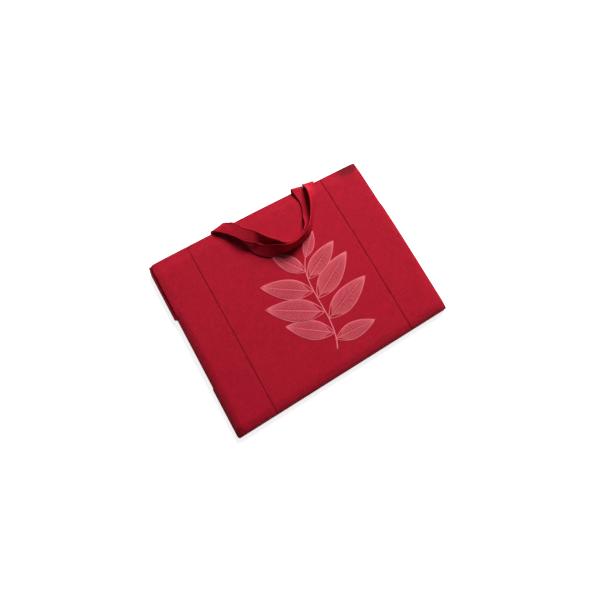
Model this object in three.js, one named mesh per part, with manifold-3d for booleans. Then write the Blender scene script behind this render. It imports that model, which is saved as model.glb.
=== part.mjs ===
// A flat cloth carry bag for a folded exercise mat, lying on its back.
// Millimetres. X runs along the mouth, Y from the bottom edge up to the mouth, Z up from the table.
import * as THREE from 'three';
import { mergeVertices } from 'three/addons/utils/BufferGeometryUtils.js';
import Module from 'manifold-3d';

const wasm = await Module();
wasm.setup();

// The bag's cloth
const panelWidth = 324.6; // front centre panel, from seam to seam
const clothThickness = 1.4; // outer linen with its interlining
const seamPlay = 0.3; // clearance between pieces that touch

// The mat folded inside, which gives the bag its thickness
const matLength = 456; // one run, along the width of the bag
const matDepth = 336;
const matPly = 4.5; // two layers of the mat, which is folded once along its length first
const matRuns = 4;
const matTurnGap = 0.6; // left between the runs at each turn
const matBelowMouth = 33; // from the mouth down to the edge of the mat
const matBottomRoom = 25; // from the other edge of the mat down to the bottom of the bag
const matSideRoom = 23.5; // beside the mat, on each side

// How the front rolls down at the sides and at the bottom
const rollReach = 20; // width of the rounded edge, seen from above
const rollLength = 31; // the same edge measured along the cloth
const leftSlope = 0.3; // share of the height lost on the rounded edge, before the cloth turns down
const rightSlope = 0.05;
const bottomSlope = 0.2;
const shoulderTurn = 0.15; // the smaller, the later and the tighter that turn
const mouthDrop = 4; // how far the front sinks towards the mouth
const mouthSlope = 30; // length of that sinking stretch

// The sides are closed in the lower two thirds and stand open in the upper third
const openRimHeight = 9; // height of the front's rim where the side stands open
const openRimInset = 2; // on the right the open rim lies this much further in
const openLip = 4.5; // and on the left this much further out
const openStart = 69; // distance above the middle at which the side opens
const openEase = 16;
const cornerReach = 2.5; // at the mouth's left corner the rim comes this much further out
const cornerLength = 14;

// On the left the back panel shows beside the front as a tab in the upper and the lower third
const upperTabReach = 5.5;
const upperTabRound = 8; // the upper tab rounds off towards the mouth over this length
const lowerTabReach = 2.4;
const lowerTabLength = 114;
const middleTuck = 1.2;
const tabCorner = 5;

// Side pleats, folded inwards between front and back
const pleatThickness = 1;
const pleatDepth = 12;
const pleatHeight = 10.5;
const pleatRimGap = 5; // from the rim of the front in to the pleat's open edge
const pleatMouthGap = 17; // from the mouth down to the pleat
const pleatBottomGap = 29; // from the bottom edge up to the pleat

// Facings sewn inside the mouth
const facingHeight = 27;
const facingEdge = 1.2; // the facing stops this much short of the mouth
const facingSideGap = 22; // and this much short of each side

// Handles
const handleThickness = 2;

// Printed sprig
const sprigHeight = 205;
const sprigAboveBottom = 45; // from the bottom edge up to the foot of the stem
const sprigBaseX = 6;
const printThickness = 0.3;
const printLine = 1.5;
const printVein = 0.9;
const stemWidth = 2.2;
const leafOval = 0.19; // a leaf's half width as a share of its length
const leafVeins = 4;

// The soft bag has settled a little out of square: how far each corner lies from its square place
const settled = {
  topLeft: [0.5, 3],
  topRight: [2, -5.5],
  bottomRight: [-4.5, 8],
  bottomLeft: [-2.5, -10],
};
const topBulge = 2.5; // the long edges bow outwards
const rightBulge = 1.7;

// Sizes that follow from the ones above
const halfWidth = matLength / 2 + matSideRoom;
const halfHeight = (matBelowMouth + matDepth + matBottomRoom) / 2;
const seamX = panelWidth / 2;
const matPitch = matPly + matTurnGap;
const matHeight = matRuns * matPly + (matRuns - 1) * matTurnGap;
const topHeight = 2 * clothThickness + 2 * seamPlay + matHeight;
const closedRimHeight = clothThickness + seamPlay;

const colours = { linen: 0xae2032, facing: 0xa01c2d, handle: 0xb8293d, mat: 0x54505c, print: 0xd8606f };

const bag = new THREE.Group();

function addPiece(name, geometry, colour, roughness = 0.9) {
  const material = new THREE.MeshStandardMaterial({ color: colour, roughness, metalness: 0 });
  const plain = geometry.clone();
  plain.deleteAttribute('uv');
  plain.deleteAttribute('normal');
  const merged = mergeVertices(plain, 1e-4);
  merged.computeVertexNormals();
  const mesh = new THREE.Mesh(merged, material);
  mesh.name = name;
  bag.add(mesh);
}

function mix(a, b, t) {
  return a + (b - a) * t;
}

function smooth(t) {
  const clamped = THREE.MathUtils.clamp(t, 0, 1);
  return clamped * clamped * (3 - 2 * clamped);
}

function spread(start, end, count) {
  return Array.from({ length: count + 1 }, (_, i) => mix(start, end, i / count));
}

// Moves a point of the square bag to where the settled bag has it
function settle(x, y, z) {
  const u = (x / halfWidth + 1) / 2;
  const v = (y / halfHeight + 1) / 2;
  const shift = [0, 1].map((axis) => mix(
    mix(settled.bottomLeft[axis], settled.bottomRight[axis], u),
    mix(settled.topLeft[axis], settled.topRight[axis], u),
    v,
  ));
  const bowX = rightBulge * (1 - (y / halfHeight) ** 2) * u;
  const bowY = topBulge * (1 - (x / halfWidth) ** 2) * v;
  return new THREE.Vector3(x + shift[0] + bowX, y + shift[1] + bowY, z);
}

function settleGeometry(geometry) {
  const position = geometry.attributes.position;
  for (let i = 0; i < position.count; i++) {
    const p = settle(position.getX(i), position.getY(i), position.getZ(i));
    position.setXYZ(i, p.x, p.y, p.z);
  }
  return geometry;
}

// A closed sheet: a box of many cells whose two large faces are laid by place(u, v, outer)
function sheet(uStations, vStations, place) {
  const uCells = uStations.length - 1;
  const vCells = vStations.length - 1;
  const geometry = new THREE.BoxGeometry(1, 1, 1, uCells, vCells, 1);
  const position = geometry.attributes.position;
  for (let i = 0; i < position.count; i++) {
    const u = uStations[Math.round((position.getX(i) + 0.5) * uCells)];
    const v = vStations[Math.round((position.getY(i) + 0.5) * vCells)];
    const p = place(u, v, position.getZ(i) > 0);
    position.setXYZ(i, p.x, p.y, p.z);
  }
  return geometry;
}

// 0 where the side is closed, 1 where it stands open
function sideOpen(y) {
  return smooth((y - openStart) / openEase);
}

// Along the cloth from the middle outwards: how far out a point lies and how much height is left.
// The rim lies further out than half by the given reach.
function rolled(along, half, reach, inset, slope) {
  const flat = half - rollReach;
  const over = Math.abs(along) - flat;
  if (over <= 0) return { place: along, left: 1 };
  const angle = Math.min(1, over / rollLength) * Math.PI / 2;
  const out = Math.sin(angle);
  const left = angle < Math.PI / 2 ? Math.cos(angle) ** shoulderTurn * (1 - slope * out) : 0;
  return { place: Math.sign(along) * (flat + (rollReach + reach - inset) * out), left };
}

function mouthSink(y) {
  return mouthDrop * smooth((y - (halfHeight - mouthSlope)) / mouthSlope);
}

// How much further out than the square bag the front's left rim lies
function leftRimReach(y) {
  const corner = smooth((y - halfHeight + cornerLength) / cornerLength);
  return openLip * smooth((y - openStart) / tabCorner) + cornerReach * corner;
}

// A point of the front, inset below its outer face
function frontPoint(u, v, inset) {
  const bottom = v < 0 ? rolled(v, halfHeight, 0, inset, bottomSlope) : { place: v, left: 1 };
  const open = sideOpen(bottom.place);
  const side = u < 0
    ? rolled(u, halfWidth, leftRimReach(bottom.place), inset, leftSlope)
    : rolled(u, halfWidth, -openRimInset * open, inset, rightSlope);
  const rim = mix(closedRimHeight, openRimHeight, open);
  const crown = topHeight - inset - mouthSink(bottom.place);
  return settle(side.place, bottom.place, rim + (crown - rim) * side.left * bottom.left);
}

const sideFlat = halfWidth - rollReach;
const bottomFlat = -(halfHeight - rollReach);
const sideRoll = spread(sideFlat, sideFlat + rollLength, 7);
const heightStations = [
  ...spread(bottomFlat - rollLength, bottomFlat, 6),
  ...spread(bottomFlat, openStart, 8).slice(1),
  ...spread(openStart, openStart + openEase, 3).slice(1),
  ...spread(openStart + openEase, halfHeight - mouthSlope, 4).slice(1),
  ...spread(halfHeight - mouthSlope, halfHeight, 4).slice(1),
];

function frontCloth(uStations) {
  return sheet(uStations, heightStations, (u, v, outer) => frontPoint(u, v, outer ? 0 : clothThickness));
}

// Front: a centre panel between two side strips, which roll down over the sides and the bottom
function addFront() {
  addPiece('front_panel', frontCloth(spread(-seamX + seamPlay / 2, seamX - seamPlay / 2, 8)), colours.linen);
  const seamEdge = seamX + seamPlay / 2;
  const strip = [...spread(seamEdge, sideFlat, 3), ...sideRoll.slice(1)];
  addPiece('side_strip_right', frontCloth(strip), colours.linen);
  addPiece('side_strip_left', frontCloth(strip.map((u) => -u).reverse()), colours.linen);
}

// Back: one flat panel on the table. Its right edge is plain and its left edge has two tabs.
const closedEdge = halfWidth - middleTuck;

function rightBackEdge() {
  return spread(-halfHeight, halfHeight, 14).map((y) => [closedEdge, y]);
}

function leftBackEdge() {
  const lower = halfWidth + lowerTabReach;
  const upper = halfWidth + upperTabReach;
  const lowerTop = -halfHeight + lowerTabLength;
  const edge = [
    [closedEdge, -halfHeight],
    ...spread(-halfHeight + tabCorner, lowerTop - tabCorner, 5).map((y) => [lower, y]),
    [closedEdge, lowerTop],
    ...spread(lowerTop, openStart, 6).slice(1).map((y) => [closedEdge, y]),
    ...spread(openStart + tabCorner, halfHeight - upperTabRound, 5).map((y) => [upper, y]),
    ...spread(upperTabRound, 0, 4).slice(1).map((below) => [
      mix(closedEdge, upper, smooth(below / upperTabRound)),
      halfHeight - below,
    ]),
  ];
  return edge.map(([x, y]) => [-x, y]);
}

function addBack() {
  const across = spread(-halfWidth + 2 * tabCorner, halfWidth - 2 * tabCorner, 12);
  const outline = [
    ...across.map((x) => [x, -halfHeight]),
    ...rightBackEdge(),
    ...across.map((x) => [-x, halfHeight]),
    ...leftBackEdge().reverse(),
  ];
  const shape = new THREE.Shape(outline.map(([x, y]) => new THREE.Vector2(x, y)));
  const geometry = new THREE.ExtrudeGeometry(shape, { depth: clothThickness, bevelEnabled: false });
  addPiece('back_panel', settleGeometry(geometry), colours.linen);
}

// Offsets an open line to both sides and returns the outline of the strip that it describes
function thickened(line, thickness) {
  const sides = [1, -1].map((sign) => line.map((point, i) => {
    const before = line[Math.max(0, i - 1)];
    const after = line[Math.min(line.length - 1, i + 1)];
    const into = point.clone().sub(before).normalize();
    const out = after.clone().sub(point).normalize();
    const along = into.add(out).normalize();
    const turn = i > 0 && i < line.length - 1 ? after.clone().sub(point).normalize().dot(along) : 1;
    const reach = sign * thickness / 2 / turn;
    return new THREE.Vector2(point.x - along.y * reach, point.y + along.x * reach);
  }));
  return new THREE.Shape([...sides[0], ...sides[1].reverse()]);
}

// Extrudes an outline drawn in X and Z along Y, in steps that can follow the settled edges
function alongBag(shape, yStart, yEnd, steps) {
  const depth = yEnd - yStart;
  const geometry = new THREE.ExtrudeGeometry(shape, { depth, steps, bevelEnabled: false });
  geometry.rotateX(Math.PI / 2);
  geometry.translate(0, yEnd, 0);
  return settleGeometry(geometry);
}

// Side pleats: the lower leaf lies on the back panel, the upper leaf rises to the front's rim
function addPleats() {
  const low = closedRimHeight + pleatThickness / 2;
  const rim = halfWidth - openRimInset - pleatRimGap;
  for (const [name, side] of [['side_pleat_left', -1], ['side_pleat_right', 1]]) {
    const line = [
      new THREE.Vector2(side * rim, low),
      new THREE.Vector2(side * (rim - pleatDepth), low),
      new THREE.Vector2(side * (rim - pleatDepth), low + 2 * pleatThickness),
      new THREE.Vector2(side * rim, low + pleatHeight),
    ];
    const profile = thickened(line, pleatThickness);
    const band = alongBag(profile, -halfHeight + pleatBottomGap, halfHeight - pleatMouthGap, 6);
    addPiece(name, band, colours.facing);
  }
}

// Facings: two flat bands inside the mouth, with the handle ends sewn to them
function addFacings() {
  const reach = halfWidth - facingSideGap;
  const across = spread(-reach, reach, 10);
  const up = spread(halfHeight - facingEdge - facingHeight, halfHeight - facingEdge, 4);
  const under = clothThickness + seamPlay;
  const front = sheet(across, up, (u, v, outer) => frontPoint(u, v, outer ? under : under + clothThickness));
  addPiece('mouth_facing_front', front, colours.facing);
  const back = sheet(across, up, (u, v, outer) => settle(u, v, outer ? under + clothThickness : under));
  addPiece('mouth_facing_back', back, colours.facing);
}

// The mat: folded once along its length, then to and fro in runs
function addMat() {
  const turnX = matLength / 2 - matPitch / 2 - matPly / 2;
  const firstRun = clothThickness + seamPlay + matPly / 2;
  const line = [];
  for (let run = 0; run < matRuns; run++) {
    const side = run % 2 === 0 ? 1 : -1;
    const z = firstRun + run * matPitch;
    if (run === 0) line.push(new THREE.Vector2(-side * (matLength / 2), z));
    if (run === matRuns - 1) {
      line.push(new THREE.Vector2(side * (matLength / 2), z));
    } else {
      for (const angle of spread(-Math.PI / 2, Math.PI / 2, 6)) {
        const x = side * (turnX + Math.cos(angle) * matPitch / 2);
        line.push(new THREE.Vector2(x, z + matPitch / 2 + Math.sin(angle) * matPitch / 2));
      }
    }
  }
  const top = halfHeight - matBelowMouth;
  addPiece('folded_mat', alongBag(thickened(line, matPly), top - matDepth, top, 4), colours.mat, 0.8);
}

// A handle is a flat band that twists along its way. Each station gives its outer and its inner edge
// as [along the mouth, below the mouth, above the front's top face].
function handle(name, stations) {
  const edge = (side) => new THREE.CatmullRomCurve3(stations.map((station) => {
    const [x, below, above] = station[side];
    return settle(x, halfHeight - below, topHeight + above);
  }), false, 'centripetal');
  const outer = edge(0);
  const inner = edge(1);
  const steps = (stations.length - 1) * 3;
  const frame = (t) => {
    const near = Math.max(0, t - 1e-3);
    const far = Math.min(1, t + 1e-3);
    const along = outer.getPoint(far).sub(outer.getPoint(near));
    along.add(inner.getPoint(far).sub(inner.getPoint(near))).normalize();
    const across = inner.getPoint(t).sub(outer.getPoint(t));
    const face = along.clone().cross(across).normalize();
    return { edge: outer.getPoint(t), across, face };
  };
  const frames = spread(0, 1, steps).map(frame);
  const geometry = sheet(spread(0, steps, steps), [0, 0.5, 1], (u, v, top) => {
    const { edge: start, across, face } = frames[Math.round(u)];
    const rise = (top ? 0.5 : -0.5) * handleThickness;
    return start.clone().addScaledVector(across, v).addScaledVector(face, rise);
  });
  addPiece(name, geometry, colours.handle);
}

// Heights, from the front's top face, at which the handle ends are sewn to the two facings
const frontEnd = -(mouthDrop + 2 * clothThickness + 2 * seamPlay + handleThickness / 2);
const backEnd = -(topHeight - 2 * clothThickness - 2 * seamPlay - handleThickness / 2);
const sewnLength = 27; // how far down the inside of the mouth a handle end reaches
const sewnRise = mouthDrop - mouthSink(halfHeight - sewnLength);

// The back handle makes the inner loop: out of the mouth, along on its lower edge, and on top at the left
const backHandle = [
  [[120.5, sewnLength, backEnd], [93.5, sewnLength, backEnd]],
  [[120.5, 8, backEnd + 0.6], [93.5, 8, backEnd + 0.6]],
  [[120.5, -4, backEnd + 6], [94, -5, backEnd + 6]],
  [[120.5, -4.5, -6], [95, -8.5, -6]],
  [[120.3, -2.2, -1.8], [95, -7.5, -0.8]],
  [[120, 2, 0.2], [95, -3.5, 1.8]],
  [[120, 9, 0.8], [95, 3, 1.2]],
  [[121, 20, 1.6], [96, 14, 1.7]],
  [[121.5, 37, 1.6], [96.5, 32, 2]],
  [[116.5, 54, 1.6], [91.5, 51.5, 2.5]],
  [[107, 68.5, 1.6], [85, 65, 6]],
  [[94, 83, 1.6], [79.5, 83.5, 17]],
  [[76.5, 94, 1.6], [68.5, 98.5, 24.5]],
  [[58, 101, 1.6], [52, 106.5, 26]],
  [[38, 101, 1.8], [35.5, 109.5, 26]],
  [[22, 99, 2.5], [20.5, 104.5, 28]],
  [[5.5, 97, 4], [8, 90.5, 29.5]],
  [[-11, 88, 6], [-5, 76.5, 30]],
  [[-23, 77.5, 13.4], [-15.5, 61, 29.5]],
  [[-36, 69, 16.5], [-24.5, 47.5, 27]],
  [[-51.5, 56, 16], [-38, 32.5, 22.5]],
  [[-64.5, 36, 13], [-49, 15, 17]],
  [[-78, 18.5, 8.5], [-58.5, 3, 12]],
  [[-89.5, 6.5, 5], [-66, -3.5, 7.5]],
  [[-97, -1, 0.4], [-73, -6.5, 2]],
  [[-100.5, -4.6, -4.5], [-76, -6.8, -4]],
  [[-103.5, -5, backEnd + 6.5], [-78, -6.2, backEnd + 6.5]],
  [[-106, 8, backEnd + 0.6], [-79, 8, backEnd + 0.6]],
  [[-106, sewnLength, backEnd], [-79, sewnLength, backEnd]],
];

// The front handle makes the outer loop and runs back to the mouth beneath the back handle
const frontHandle = [
  [[149, sewnLength, frontEnd + sewnRise], [122, sewnLength, frontEnd + sewnRise]],
  [[149, 10, frontEnd + 0.6], [122, 10, frontEnd + 0.6]],
  [[149, 1.5, frontEnd - 0.6], [122, 1.5, frontEnd - 0.6]],
  [[148.5, -3, frontEnd + 2], [122, -3.2, frontEnd + 2]],
  [[147.5, -3, -3.2], [121.5, -5, -3]],
  [[146.5, 1, -0.2], [121.3, -4.5, 2]],
  [[143.5, 14, 0.9], [121.3, 3, 10]],
  [[137.5, 27, 1.6], [120.5, 18, 20]],
  [[129.5, 40, 1.6], [116, 38, 24.5]],
  [[120.5, 53, 1.6], [109.5, 54, 26]],
  [[110, 69, 1.6], [101, 70.5, 27]],
  [[95, 89.5, 1.6], [87.5, 89.5, 27.5]],
  [[80, 105, 1.6], [73, 101.5, 27.5]],
  [[60, 113, 1.6], [54.5, 109, 27.5]],
  [[41.5, 117, 1.6], [37.5, 112.5, 27]],
  [[22, 117, 1.6], [20, 108, 26]],
  [[1, 113, 1.6], [5, 98.5, 22.5]],
  [[-18, 109, 1.6], [-10, 89.5, 18.5]],
  [[-32, 99, 1.6], [-22.5, 81, 15]],
  [[-41.5, 87, 1.8], [-31.5, 66.5, 11.5]],
  [[-48, 65, 5], [-33, 45, 12.5]],
  [[-53.5, 47.5, 6], [-38, 27.5, 12]],
  [[-62.5, 31, 6.5], [-45, 12, 9.5]],
  [[-75.5, 17, 4.5], [-55, 1, 6.5]],
  [[-88, 7.5, 1.4], [-64.5, -1.8, 3]],
  [[-96, 2.5, -0.4], [-71.5, -2.6, 0.2]],
  [[-100.5, -1.8, -4.5], [-75.5, -2.6, -4.2]],
  [[-102.5, -1.9, frontEnd + 1.5], [-77, -2, frontEnd + 1.5]],
  [[-104.5, 1.5, frontEnd - 0.6], [-77.5, 1.5, frontEnd - 0.6]],
  [[-105, 10, frontEnd + 0.6], [-78, 10, frontEnd + 0.6]],
  [[-105, sewnLength, frontEnd + sewnRise], [-78, sewnLength, frontEnd + sewnRise]],
];

function toSolid(geometry) {
  const plain = geometry.clone();
  plain.deleteAttribute('uv');
  plain.deleteAttribute('normal');
  const merged = mergeVertices(plain, 1e-4);
  return new wasm.Manifold(new wasm.Mesh({
    numProp: 3,
    vertProperties: merged.attributes.position.array,
    triVerts: new Uint32Array(merged.index.array),
  }));
}

function fromSolid(solid) {
  const { vertProperties, triVerts } = solid.getMesh();
  const geometry = new THREE.BufferGeometry();
  geometry.setAttribute('position', new THREE.BufferAttribute(new Float32Array(vertProperties), 3));
  geometry.setIndex(new THREE.BufferAttribute(new Uint32Array(triVerts), 1));
  return geometry;
}

// A pointed oval from its base at the origin to its tip along +X
function leafShape(length, inset) {
  const half = length * leafOval * 2 - inset;
  const start = inset * 2;
  const end = length - inset * 3;
  const shape = new THREE.Shape();
  shape.moveTo(start, 0);
  shape.quadraticCurveTo(length * 0.42, -half, end, 0);
  shape.quadraticCurveTo(length * 0.42, half, start, 0);
  return shape;
}

function flatSolid(shape) {
  const options = { depth: printThickness, bevelEnabled: false, curveSegments: 7 };
  return toSolid(new THREE.ExtrudeGeometry(shape, options));
}

function bar(x, y, angle, length, width) {
  const geometry = new THREE.BoxGeometry(length, width, printThickness);
  geometry.translate(length / 2, 0, printThickness / 2);
  geometry.rotateZ(angle);
  geometry.translate(x, y, 0);
  return toSolid(geometry);
}

// One leaf: its outline, its midrib and a few veins on each side
function leafSolid(length) {
  const whole = flatSolid(leafShape(length, 0));
  let leaf = whole.subtract(flatSolid(leafShape(length, printLine)));
  leaf = leaf.add(bar(0, 0, 0, length - printLine, printVein));
  for (let i = 1; i <= leafVeins; i++) {
    const x = length * (i / (leafVeins + 1)) * 0.8;
    for (const side of [-1, 1]) leaf = leaf.add(bar(x, 0, side * 0.62, length * 0.34, printVein));
  }
  return leaf.intersect(whole);
}

// The sprig: a bent stem with a leaf at its tip and leaves in turn to the left and the right.
// Its places and leaf lengths are shares of its height.
const stemShares = [[0, 0], [0.183, 0.317], [-0.019, 0.75], [0.202, 1]];
const stemCurve = new THREE.CubicBezierCurve(...stemShares.map(([across, up]) => new THREE.Vector2(
  sprigBaseX + across * sprigHeight,
  -halfHeight + sprigAboveBottom + up * sprigHeight,
)));
const sprigLeaves = [
  { at: 0.1, side: 1, turn: 76, share: 0.44 },
  { at: 0.16, side: -1, turn: 66, share: 0.5 },
  { at: 0.3, side: 1, turn: 66, share: 0.58 },
  { at: 0.38, side: -1, turn: 60, share: 0.61 },
  { at: 0.52, side: 1, turn: 60, share: 0.58 },
  { at: 0.6, side: -1, turn: 58, share: 0.55 },
  { at: 0.74, side: 1, turn: 52, share: 0.49 },
  { at: 0.82, side: -1, turn: 50, share: 0.42 },
  { at: 0.985, side: 1, turn: 4, share: 0.3 },
];

function addPrint() {
  const stemPoints = stemCurve.getPoints(14);
  let sprig = flatSolid(thickened(stemPoints, stemWidth));
  for (const { at, side, turn, share } of sprigLeaves) {
    const base = stemCurve.getPoint(at);
    const heading = stemCurve.getTangent(at).angle() - side * THREE.MathUtils.degToRad(turn);
    const degrees = THREE.MathUtils.radToDeg(heading);
    sprig = sprig.add(leafSolid(share * sprigHeight).rotate([0, 0, degrees]).translate([base.x, base.y, 0]));
  }
  const geometry = fromSolid(sprig).translate(0, 0, topHeight + seamPlay);
  addPiece('leaf_print', settleGeometry(geometry), colours.print, 0.7);
}

addFront();
addBack();
addPleats();
addFacings();
addMat();
handle('handle_back', backHandle);
handle('handle_front', frontHandle);
addPrint();

// The origin lies on the table under the middle of the whole bag
const wholeBag = new THREE.Box3().setFromObject(bag);
const middle = wholeBag.getCenter(new THREE.Vector3());
for (const piece of bag.children) piece.geometry.translate(-middle.x, -middle.y, -wholeBag.min.z);

export default bag;
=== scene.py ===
import math

import bmesh
import bpy
import numpy as np
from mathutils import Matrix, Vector


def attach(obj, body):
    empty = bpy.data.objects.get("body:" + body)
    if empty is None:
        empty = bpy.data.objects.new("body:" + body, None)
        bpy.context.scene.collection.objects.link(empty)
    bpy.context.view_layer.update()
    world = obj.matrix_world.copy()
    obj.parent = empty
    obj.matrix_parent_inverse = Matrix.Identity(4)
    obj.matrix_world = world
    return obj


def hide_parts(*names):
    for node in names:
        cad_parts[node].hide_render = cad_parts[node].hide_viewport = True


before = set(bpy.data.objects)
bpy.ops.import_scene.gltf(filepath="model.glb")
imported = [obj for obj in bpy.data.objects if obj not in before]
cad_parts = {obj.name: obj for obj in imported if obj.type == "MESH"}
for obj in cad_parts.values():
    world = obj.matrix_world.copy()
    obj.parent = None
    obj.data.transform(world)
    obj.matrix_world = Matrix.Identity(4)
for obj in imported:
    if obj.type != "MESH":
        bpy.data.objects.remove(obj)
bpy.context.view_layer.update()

# The bag's cloth
PANEL_WIDTH = 324.6
CLOTH = 1.4
SEAM_PLAY = 0.3

# The folded mat inside. Its runs lie thinner and closer by the sink, clear of the seams above them.
MAT_LENGTH = 456
MAT_DEPTH = 336
MAT_PLY = 4.5
MAT_RUNS = 4
MAT_TURN_GAP = 0.6
MAT_SINK = 0.4
MAT_BELOW_MOUTH = 33
MAT_BOTTOM_ROOM = 25
MAT_SIDE_ROOM = 23.5

# How the front rolls down at the sides and at the bottom
ROLL_REACH = 20
ROLL_LENGTH = 31
LEFT_SLOPE = 0.3
RIGHT_SLOPE = 0.05
BOTTOM_SLOPE = 0.2
SHOULDER_TURN = 0.15
SLOPE_START = 1.6  # the larger, the softer the start of the slope
MOUTH_DROP = 4
MOUTH_SLOPE = 30
OPEN_RIM_HEIGHT = 9
OPEN_RIM_INSET = 2
OPEN_LIP = 4.5
OPEN_START = 69
OPEN_EASE = 16
CORNER_REACH = -2  # the rim draws in at the left corner of the mouth
CORNER_LENGTH = 12
CROWN_REST = 0.35  # the cloth rests this much lower than the drawn height

# The lip of the open left side: a groove along its inner edge, and the cloth falls away outside it
LIP_WIDTH = 5.5
LIP_GROOVE = 6
LIP_GROOVE_WIDTH = 1.3
LIP_FALL = 0.75

# The seams sink into a shallow dip
SEAM_HALF_GAP = 0.04
SEAM_DIP = 0.55
SEAM_DIP_WIDTH = 1.4

# Spacing of the rows and columns of the front's cloth
FLAT_PITCH = 3.2
SIDE_ROLL_PITCH = 1.1
BOTTOM_ROLL_PITCH = 2.2
MOUTH_PITCH = 2.4
SEAM_COLUMNS = (0.3, 0.7, 1.2, 2, 3)  # closer columns, as distances from the seam

# Faint creases: place across, depth, width, lower end and its fade, upper end and its fade
CREASES = (
    (-115.5, 0.30, 1.6, -110, 30, 145, 30),
    (214.5, 0.42, 1.4, 138, 14, 182, 10),
    (199, 0.36, 1.5, -166, 10, -128, 10),
)

# A darker brown patch blended into the cloth's colour along the mouth at the right corner, before the
# shift of the origin
DARK_PATCH_TOP = 198
DARK_PATCH_LEFT = 197
DARK_PATCH_LEFT_FADE = 18
DARK_PATCH_DEPTH = 26
DARK_PATCH_EDGE = 12
DARK_PATCH_CORNER = 242

# Tabs of the back panel, on the left, with a hem that stands up along their edge
UPPER_TAB_REACH = 5.5
UPPER_TAB_ROUND = 16
LOWER_TAB_REACH = 2.4
LOWER_TAB_LENGTH = 114
MIDDLE_TUCK = 1.2
TAB_CORNER = 5
HEM_RISE = 3.8
HEM_WIDTH = 6

# Side pleats and facings
PLEAT_THICKNESS = 1
PLEAT_DEPTH = 12
PLEAT_HEIGHT = 10.5
PLEAT_RIM_GAP = 5
PLEAT_MOUTH_GAP = 17
PLEAT_BOTTOM_GAP = 29
FACING_HEIGHT = 27
FACING_EDGE = 1.2
FACING_SIDE_GAP = 22

# Handles. Shares are of the band's width, from its edge.
HANDLE_THICKNESS = 2
HANDLE_SEWN = 27
FACE_LEVEL = 0.88  # height of the band's face as a share of half its thickness
EDGE_SHARE = 0.05
EDGE_DROP = 0.35
BEAD_SHARE = 0.04
BEAD_WIDTH = 0.03
BEAD_HEIGHT = 0.5
GROOVE_SHARE = 0.10
GROOVE_WIDTH = 0.014
GROOVE_DEPTH = 0.30
PILLOW_SHARE = 0.12
PILLOW_HEIGHT = 0.12
FLUTTER = 0.25

# Stitches
STITCH_PITCH = 3.2
STITCH_LENGTH = 2.3
STITCH_RADIUS = 0.28
STITCH_INSET = 0.12

# The bag has settled a little out of square
SETTLED = {
    "top_left": (0.5, 3),
    "top_right": (2, -5.5),
    "bottom_right": (-4.5, 8),
    "bottom_left": (-2.5, -10),
}
TOP_BULGE = 2.5
RIGHT_BULGE = 1.7
ORIGIN_SHIFT = (-2.5705, 0.2455)

# Camera: a plain 36 mm lens, turned and tipped as in the photo
CAMERA_AZIMUTH = -29.9
CAMERA_ELEVATION = 74.8
CAMERA_DISTANCE = 1270
CAMERA_TARGET = (-7.5, -18.6)

# Studio. The floor glows and the world is white only where they are seen.
KEY_DIRECTION = (0.585, 0.529, 0.616)
KEY_DISTANCE = 3.4
KEY_SIZE = 1.6
KEY_ENERGY = 200
SKY_LIGHT = 0.06
FLOOR_GLOW = 0.84
FLOOR_GREY = (0.8, 0.8, 0.8, 1)
FLOOR_HALF_SIZE = 3.0
FLOOR_DROP = 0.0003

# Colours, linear
LINEN_RED = (0.425, 0.0075, 0.0240, 1)
FACING_RED = (0.34, 0.0034, 0.015, 1)
HANDLE_RED = (0.46, 0.0078, 0.0245, 1)
THREAD_RED = (0.40, 0.0090, 0.024, 1)
THREAD_DARK = (0.24, 0.008, 0.018, 1)
SHEEN_PINK = (1, 0.35, 0.4, 1)
PRINT_PINK = (0.92, 0.19, 0.24, 1)
# Darker brown blended into the patch at the right corner of the mouth
DARK_PATCH_BROWN = (0.19, 0.0065, 0.0145, 1)
MAT_GREY = (0.075, 0.068, 0.085, 1)
MAT_DARK = (0.045, 0.04, 0.052, 1)

# Weaves: thread spacing in metres, unevenness of the threads, depth of the bump in metres
LINEN_WEAVE = (0.0012, 0.5, 0.00035)
FACING_WEAVE = (0.0010, 0.4, 0.0003)
HANDLE_WEAVE = (0.0011, 0.5, 0.0003)

half_width = MAT_LENGTH / 2 + MAT_SIDE_ROOM
half_height = (MAT_BELOW_MOUTH + MAT_DEPTH + MAT_BOTTOM_ROOM) / 2
seam_x = PANEL_WIDTH / 2
mat_pitch = MAT_PLY + MAT_TURN_GAP
top_height = 2 * CLOTH + 2 * SEAM_PLAY + MAT_RUNS * MAT_PLY + (MAT_RUNS - 1) * MAT_TURN_GAP
closed_rim = CLOTH + SEAM_PLAY


def mix(a, b, t):
    return a + (b - a) * t


def smooth(t):
    t = np.clip(t, 0, 1)
    return t * t * (3 - 2 * t)


def bump(distance, width):
    """1 on a line and 0 from a few widths away."""
    return np.exp(-((distance / width) ** 2))


def settle(x, y, z):
    """Moves a point of the square bag to where the settled bag has it."""
    u = (x / half_width + 1) / 2
    v = (y / half_height + 1) / 2
    low = [mix(SETTLED["bottom_left"][i], SETTLED["bottom_right"][i], u) for i in (0, 1)]
    high = [mix(SETTLED["top_left"][i], SETTLED["top_right"][i], u) for i in (0, 1)]
    across = mix(low[0], high[0], v) + RIGHT_BULGE * (1 - (y / half_height) ** 2) * u
    up = mix(low[1], high[1], v) + TOP_BULGE * (1 - (x / half_width) ** 2) * v
    return np.stack(np.broadcast_arrays(x + across - ORIGIN_SHIFT[0], y + up - ORIGIN_SHIFT[1], z), -1)


def place_object(name, data):
    """Adds an object with the given data to the scene."""
    item = bpy.data.objects.new(name, data)
    bpy.context.scene.collection.objects.link(item)
    return item


def side_open(y):
    """0 where the side is closed, 1 where it stands open."""
    return smooth((y - OPEN_START) / OPEN_EASE)


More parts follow.
